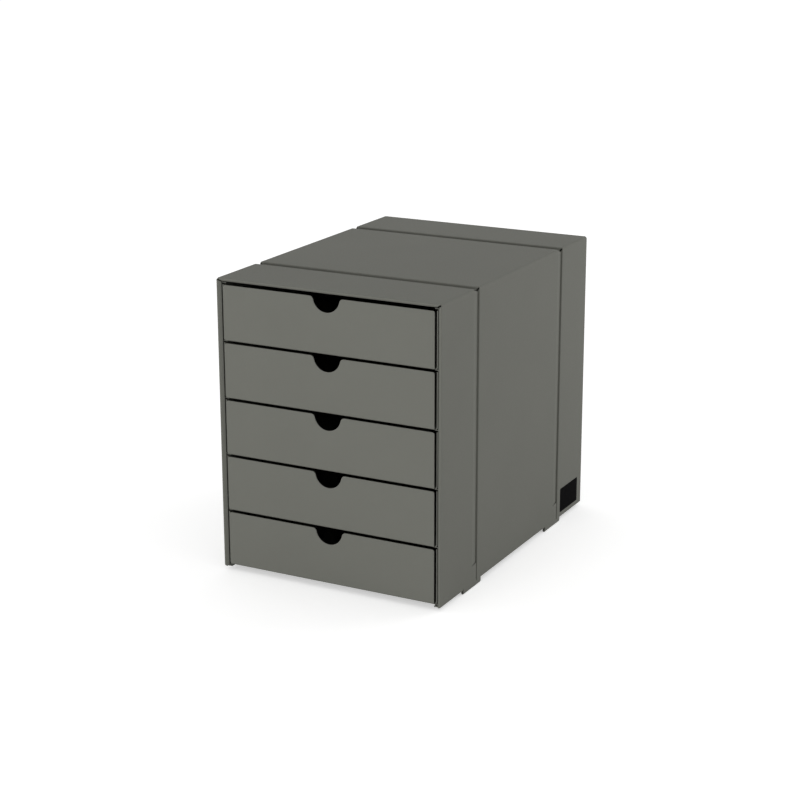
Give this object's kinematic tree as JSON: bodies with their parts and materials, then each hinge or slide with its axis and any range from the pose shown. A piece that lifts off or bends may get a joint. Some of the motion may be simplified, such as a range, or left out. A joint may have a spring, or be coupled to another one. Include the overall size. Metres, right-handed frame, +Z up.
{
  "type": "desktop file drawer unit",
  "caption": "Desktop unit folded from painted sheet steel: a grooved housing on low foot tabs, with stacked pull-out paper trays that have half-round finger notches.",
  "frame": {"origin": "on the desk, under the middle of the housing", "axes": "+Z up, front with the tray faces towards -Y, +X to the right seen from the front"},
  "size_m": [0.2483, 0.3495, 0.307],
  "materials": {
    "housing_paint": "fine satin powder coat, warm grey",
    "tray_paint": "fine satin powder coat, warm grey",
    "inner_paint": "fine satin powder coat, warm grey",
    "label_film": "smooth satin adhesive film, bare"
  },
  "bodies": {
    "housing": {"housing_shell": "housing_paint", "back_panel": "inner_paint", "base_rail_front": "inner_paint", "base_rail_rear": "inner_paint", "side_label": "label_film", "top_guide_left": "inner_paint", "top_guide_right": "inner_paint", "runner_1_left": "inner_paint", "runner_1_right": "inner_paint", "runner_2_left": "inner_paint", "runner_2_right": "inner_paint", "runner_3_left": "inner_paint", "runner_3_right": "inner_paint", "runner_4_left": "inner_paint", "runner_4_right": "inner_paint", "runner_5_left": "inner_paint", "runner_5_right": "inner_paint"},
    "tray_1": {"tray_1": "tray_paint"},
    "tray_2": {"tray_2": "tray_paint"},
    "tray_3": {"tray_3": "tray_paint"},
    "tray_4": {"tray_4": "tray_paint"},
    "tray_5": {"tray_5": "tray_paint"}
  },
  "joints": [
    {"name": "tray_1_slide", "type": "slide", "parent": "housing", "child": "tray_1", "axis": [0, -1, 0], "range_m": [0, 0.29]},
    {"name": "tray_2_slide", "type": "slide", "parent": "housing", "child": "tray_2", "axis": [0, -1, 0], "range_m": [0, 0.29]},
    {"name": "tray_3_slide", "type": "slide", "parent": "housing", "child": "tray_3", "axis": [0, -1, 0], "range_m": [0, 0.29]},
    {"name": "tray_4_slide", "type": "slide", "parent": "housing", "child": "tray_4", "axis": [0, -1, 0], "range_m": [0, 0.29]},
    {"name": "tray_5_slide", "type": "slide", "parent": "housing", "child": "tray_5", "axis": [0, -1, 0], "range_m": [0, 0.29]}
  ]
}
